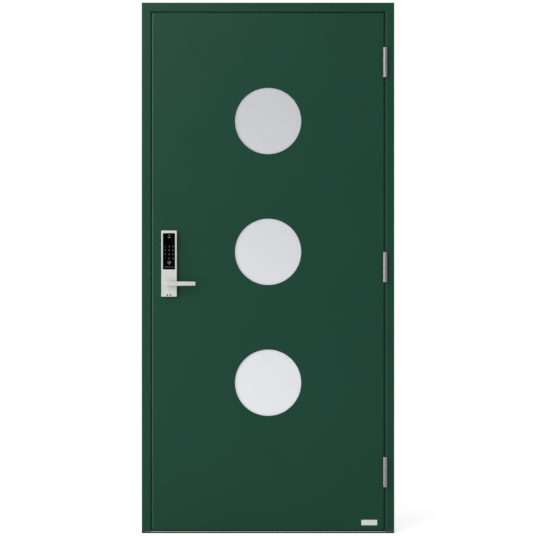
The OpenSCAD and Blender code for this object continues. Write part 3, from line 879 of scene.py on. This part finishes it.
def keypad_print():
    """Figures in three columns and four rows, a lamp and a light bar above, a plain reader mark below."""
    x = lever_axis.x + 0.8 * MM
    marks = []
    for row, figures in enumerate(("123", "456", "789", "*0#")):
        for column, figure in enumerate(figures):
            across, up = x + (column - 1) * key_pitch, top_keys_z - row * key_row_pitch
            marks.append(digit(figure, across, up, key_h))
    marks.append(printed_bow(x, lamp_z, 2.2 * MM, 1.3 * MM, 0, 359.9))
    marks.append(printed_bar(x, light_bar_z, 10 * MM, 3 * MM))
    marks += [printed_bow(x, reader_z, r * MM, 1.5 * MM, 35, 145) for r in (4, 7.5, 11)]
    marks.append(printed_bow(x, reader_z, 1.4 * MM, 1.2 * MM, 0, 359.9))
    marks += [printed_bar(x + i * 5.5 * MM, foot_marks_z, 3.2 * MM, 1.3 * MM) for i in range(-3, 4)]
    return joined(marks)


def lever(lo, hi, out):
    """A lever: a slim tapering bar on a round neck. out is the side it stands on, -1 outside, 1 inside."""
    thick, taper = 12 * MM, 1.5 * MM
    face, root = (lo.y, hi.y) if out < 0 else (hi.y, lo.y)
    back = face - out * thick
    bm = block((lo.x, min(face, back), lo.z), (hi.x, max(face, back), hi.z))
    for vert in bm.verts:
        if vert.co.x > lever_axis.x:
            vert.co.z += taper if vert.co.z < lever_axis.z else -taper
    upright = [e for e in bm.edges if abs(e.verts[0].co.y - e.verts[1].co.y) > NEAR]
    round_edges(bm, upright, 1.6 * MM, 3)
    front, rear = corners_at(bm, Y, face), corners_at(bm, Y, back)
    round_edges(bm, front, 1.3 * MM, 3)
    round_edges(bm, rear, 1.0 * MM, 2)
    r, reach = 9 * MM, abs(face - root) - thick
    points = [(0, 0), (r, 0), (r, reach - 1.5 * MM)]
    points += [(r - 0.3 * MM, reach - 0.4 * MM), (r - 0.3 * MM, reach + 1 * MM), (0, reach + 1 * MM)]
    neck = lathe([(a, out * h) for a, h in points], (lever_axis.x, root, lever_axis.z), Y, 64)
    return joined([bm, neck])


def collar(level, out):
    """The ring on the housing that the lever's neck turns in."""
    bore, radius, height = 9.3 * MM, 11 * MM, 1.2 * MM
    points = [(bore, -1 * MM), (bore, height - 0.4 * MM), (bore + 0.3 * MM, height)]
    points += [(radius - 0.6 * MM, height), (radius - 0.2 * MM, height - 0.2 * MM)]
    points += [(radius, height - 0.7 * MM), (radius, -1 * MM)]
    return lathe([(r, out * h) for r, h in points], (lever_axis.x, level, lever_axis.z), Y, 64)


def inside_housing():
    """The room side: a rounded slab, parted by a seam below the battery cover."""
    lo, hi = room_housing_lo, room_housing_hi
    lower = plate(Y, hi.y, lo.y, lo, (hi.x, 0, room_seam_z - 0.2 * MM), 3 * MM, 1.6 * MM, 4)
    upper = plate(Y, hi.y, lo.y, (lo.x, 0, room_seam_z + 0.2 * MM), hi, 3 * MM, 1.6 * MM, 4)
    return joined([lower, upper])


def thumbturn():
    """A round base and a flat grip with softened edges."""
    middle = (turn_lo + turn_hi) / 2
    radius, base = 17 * MM, 6 * MM
    points = [(0, -1 * MM), (radius, -1 * MM), (radius, base - 1.2 * MM)]
    points += arc(radius - 1.2 * MM, base - 1.2 * MM, 1.2 * MM, 0, 90, 4) + [(0, base)]
    disc = lathe(points, (middle.x, turn_lo.y, middle.z), Y, 64)
    grip = block((middle.x - 5 * MM, turn_lo.y + base - 1 * MM, turn_lo.z + 2 * MM),
                 (middle.x + 5 * MM, turn_hi.y, turn_hi.z - 2 * MM), 2.2 * MM, 4)
    return joined([disc, grip])


def edge_plate(lo, hi, facing, holes):
    """The lock's forend or the strike plate, with its bolt holes and two screws. It faces along X."""
    near, far = (lo.x, hi.x) if facing < 0 else (hi.x, lo.x)

    def loops(bm, level):
        outline(bm, X, level, lo, hi, 2 * MM)
        for hole_lo, hole_hi in holes:
            outline(bm, X, level, hole_lo, hole_hi, 1 * MM)
    bm = pierced_plate(X, near, far, loops)
    round_edges(bm, corners_at(bm, X, near), 0.3 * MM, 2)
    y = (lo.y + hi.y) / 2
    screws = [screw_head((near, y, z), facing) for z in (lo.z + 12 * MM, hi.z - 12 * MM)]
    return joined([bm, *screws])


def contact_stud(side):
    """One of the two dark power contacts below the lever, with a dimple in its face."""
    lo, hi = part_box("battery_contacts")
    r, top = 3.1 * MM, hi.y - lo.y
    points = [(0, -1 * MM), (r, -1 * MM), (r, top * 0.6), (r - 0.3 * MM, top), (1.3 * MM, top),
              (1.1 * MM, top * 0.4), (0, top * 0.4)]
    centre = (lever_axis.x + side * 6 * MM, hi.y, (lo.z + hi.z) / 2)
    return lathe([(a, -h) for a, h in points], centre, Y, 32)


def latch_nose():
    """The latch: a block with a rounded nose on its closing side."""
    bm = block(latch_lo, latch_hi)
    nose = edges_at(bm, x=latch_lo.x, y=latch_hi.y)
    bmesh.ops.bevel(bm, geom=nose, offset=1.1 * MM, offset_type="OFFSET", segments=4, profile=0.5,
                    affect="EDGES", material=-1)
    return bm


def add_lock():
    piece("outside_lock_housing", outside_housing(), housing_steel, "leaf",
          ("outside_housing",))
    glass = plate(Y, keypad_lo.y, keypad_hi.y, keypad_lo, keypad_hi, 2.6 * MM, 0.5 * MM, 3)
    piece("keypad_cover_glass", glass, keypad_black, "leaf", ("keypad_glass",))
    piece("keypad_figures", keypad_print(), key_print, "leaf")
    contacts = joined([contact_stud(-1), contact_stud(1)])
    piece("power_contacts", contacts, contact_metal, "leaf", ("battery_contacts",))
    piece("room_lock_housing", inside_housing(), housing_steel, "leaf", ("inside_housing",))
    piece("turn_knob", thumbturn(), lever_steel, "leaf", ("thumbturn",))
    collars = joined([collar(housing_lo.y, -1), collar(room_housing_hi.y, 1)])
    piece("lever_collars", collars, housing_steel, "leaf")
    piece("outside_lever_handle", lever(lever_lo, lever_hi, -1), lever_steel, "handle",
          ("outside_lever",))
    piece("inside_lever_handle", lever(room_lever_lo, room_lever_hi, 1), lever_steel, "handle",
          ("inside_lever",))
    forend = edge_plate(forend_lo, forend_hi, -1, bolt_holes(0.5 * MM))
    piece("forend_plate", forend, bolt_steel, "leaf", ("lock_forend",))
    keeper = edge_plate(strike_lo, strike_hi, 1, bolt_holes(bolt_play))
    piece("keeper_plate", keeper, bolt_steel, "frame", ("strike_plate",))
    piece("latch_nose", latch_nose(), bolt_steel, "leaf", ("latch_bolt",))
    piece("dead_bolt_bar", block(dead_lo, dead_hi, 0.4 * MM, 2), bolt_steel, "leaf",
          ("dead_bolt",))
    for node in ("lock_case", "handle_spindle"):
        frame["nodes"][node].data.materials.clear()
        frame["nodes"][node].data.materials.append(bolt_steel)


# --- Camera, light and floor ------------------------------------------------------------------

def add_camera():
    distance, seen_w = 7.0, 2.1011
    data = bpy.data.cameras.new("camera")
    data.sensor_width = 36
    data.lens = data.sensor_width * distance / seen_w
    data.clip_end = 200
    camera = bpy.data.objects.new("camera", data)
    camera.location = (0, y_front - distance, z_top / 2 - 0.3 * MM)
    camera.rotation_euler = (math.pi / 2, 0, 0)
    bpy.context.scene.collection.objects.link(camera)
    bpy.context.scene.camera = camera


def area_lamp(name, place, aim, wide, high, power):
    data = bpy.data.lights.new(name, "AREA")
    data.shape = "RECTANGLE"
    data.size = wide
    data.size_y = high
    data.energy = power
    lamp = bpy.data.objects.new(name, data)
    lamp.location = place
    lamp.rotation_euler = (Vector(aim) - Vector(place)).to_track_quat("-Z", "Y").to_euler()
    bpy.context.scene.collection.objects.link(lamp)


def seen_directly(nodes, links):
    """1 for rays from the camera, a mirror or glass, 0 for the rays that carry light to a surface."""
    rays = nodes.new("ShaderNodeLightPath")
    total = None
    for name in ("Is Camera Ray", "Is Glossy Ray", "Is Transmission Ray"):
        if total is None:
            total = rays.outputs[name]
            continue
        node = nodes.new("ShaderNodeMath")
        node.operation = "MAXIMUM"
        links.new(total, node.inputs[0])
        links.new(rays.outputs[name], node.inputs[1])
        total = node.outputs["Value"]
    return total


def add_world(level):
    world = bpy.data.worlds.new("studio")
    bpy.context.scene.world = world
    world.use_nodes = True
    nodes, links = world.node_tree.nodes, world.node_tree.links
    nodes.clear()
    white = nodes.new("ShaderNodeBackground")
    white.inputs["Color"].default_value = (1, 1, 1, 1)
    white.inputs["Strength"].default_value = 1.0
    soft = nodes.new("ShaderNodeBackground")
    soft.inputs["Color"].default_value = (1, 1, 1, 1)
    soft.inputs["Strength"].default_value = level
    mix = nodes.new("ShaderNodeMixShader")
    output = nodes.new("ShaderNodeOutputWorld")
    links.new(seen_directly(nodes, links), mix.inputs["Fac"])
    links.new(soft.outputs["Background"], mix.inputs[1])
    links.new(white.outputs["Background"], mix.inputs[2])
    links.new(mix.outputs["Shader"], output.inputs["Surface"])


def add_floor():
    bm = bmesh.new()
    bmesh.ops.create_grid(bm, x_segments=1, y_segments=1, size=30)
    mesh = bpy.data.meshes.new("floor")
    bm.to_mesh(mesh)
    bm.free()
    floor = bpy.data.objects.new("floor", mesh)
    bpy.context.scene.collection.objects.link(floor)
    paint = Finish("floor_white", Roughness=0.9, Specular_IOR_Level=0.1)
    paint.tint(paint.grain(1.5), (0.90, 0.90, 0.90), (0.92, 0.92, 0.92))
    paint.shader.inputs["Emission Color"].default_value = (1, 1, 1, 1)
    lift = paint.nodes.new("ShaderNodeMath")
    lift.operation = "MULTIPLY"
    lift.inputs[1].default_value = 0.60
    paint.links.new(seen_directly(paint.nodes, paint.links), lift.inputs[0])
    paint.links.new(lift.outputs["Value"], paint.shader.inputs["Emission Strength"])
    mesh.materials.append(paint.material)


def add_studio():
    add_camera()
    add_world(0.42)
    area_lamp("high_key", (-1.9, -4.6, 3.7), (0, 0, 1.2), 2.0, 1.6, 73)
    area_lamp("tall_side_light", (-3.0, -4.0, 1.5), (0, 0, 1.1), 1.0, 2.8, 54)
    area_lamp("edge_light", (-3.4, -1.1, 1.1), (-0.2, 0, 1.04), 0.5, 2.6, 36)
    add_floor()
    bpy.context.scene.view_settings.view_transform = "Standard"


add_studio()
add_frame()
add_leaf()
add_hinges()
add_lock()
